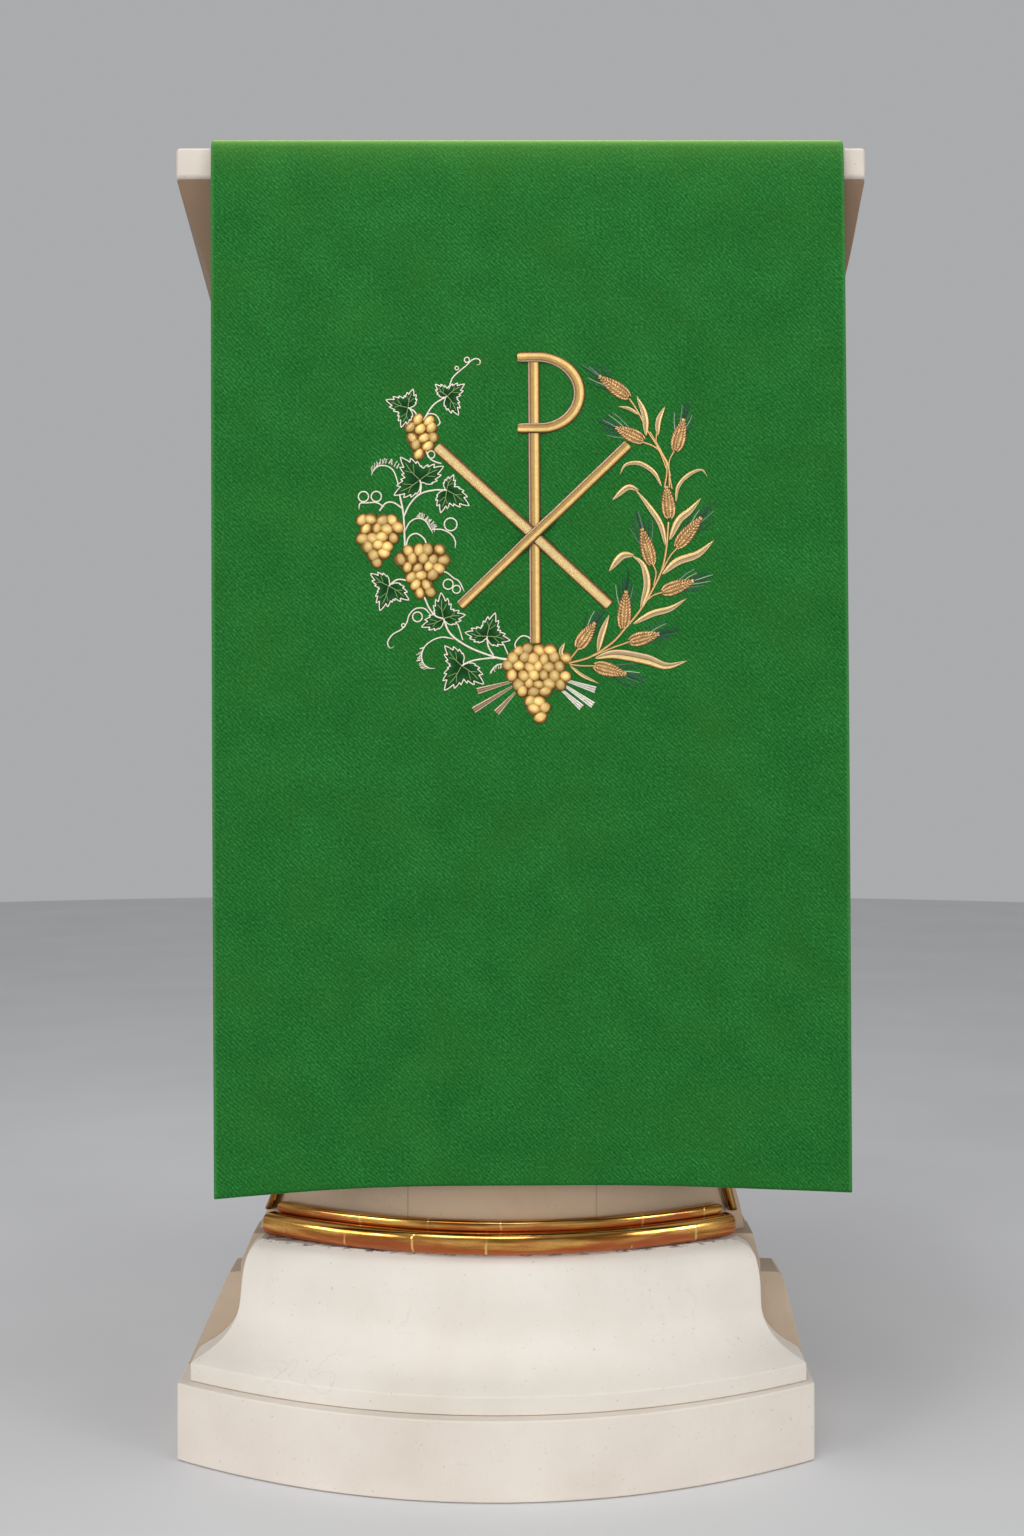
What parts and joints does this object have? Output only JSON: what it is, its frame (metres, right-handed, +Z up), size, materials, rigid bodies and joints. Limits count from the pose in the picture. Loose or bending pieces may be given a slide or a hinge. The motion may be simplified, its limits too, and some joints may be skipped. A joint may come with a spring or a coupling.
{
  "type": "lectern cover on its lectern",
  "caption": "Cloth cover with an embroidered wreath and monogram, laid on a sloping desk and hanging down the front of a bow-fronted lectern.",
  "frame": {"origin": "centre of the width of the lectern's foot, on the floor", "axes": "+Z up, -Y out of the front on which the cloth hangs, +X to the right of someone facing that front"},
  "size_m": [0.552, 0.4309, 1.0587],
  "materials": {
    "cloth": "matte green twill, turned edges",
    "gold_thread": "padded gold satin stitch with a brown edge",
    "copper_thread": "copper thread, slightly glossy",
    "leaf_thread": "dark green fill stitch with silvery outlines",
    "painted_wood": "aged off-white paint on wood",
    "gilding": "burnished gold leaf, worn through to red-brown"
  },
  "bodies": {
    "root": {"cover": "cloth", "monogram_staff": "gold_thread", "monogram_bow": "gold_thread", "monogram_falling": "gold_thread", "monogram_rising": "gold_thread", "grape_bunch_1": "gold_thread", "grape_bunch_2": "gold_thread", "grape_bunch_3": "gold_thread", "grape_bunch_4": "gold_thread", "vine_leaf_1": "leaf_thread", "vine_leaf_2": "leaf_thread", "vine_leaf_3": "leaf_thread", "vine_leaf_4": "leaf_thread", "vine_leaf_5": "leaf_thread", "vine_leaf_6": "leaf_thread", "vine_leaf_7": "leaf_thread", "vine_leaf_8": "leaf_thread", "wheat_ear_1": "copper_thread", "wheat_ear_2": "copper_thread", "wheat_ear_3": "copper_thread", "wheat_ear_4": "copper_thread", "wheat_ear_5": "copper_thread", "wheat_ear_6": "copper_thread", "wheat_ear_7": "copper_thread", "wheat_ear_8": "copper_thread", "wheat_ear_9": "copper_thread", "wheat_ear_10": "copper_thread", "wheat_ear_11": "copper_thread", "plinth": "painted_wood", "base_moulding": "painted_wood", "base_block": "painted_wood", "shaft": "painted_wood", "head": "painted_wood", "desk_board": "painted_wood", "gilt_roll": "gilding", "gilt_bead": "gilding", "gilt_corner_left": "gilding", "gilt_corner_right": "gilding"}
  },
  "joints": []
}
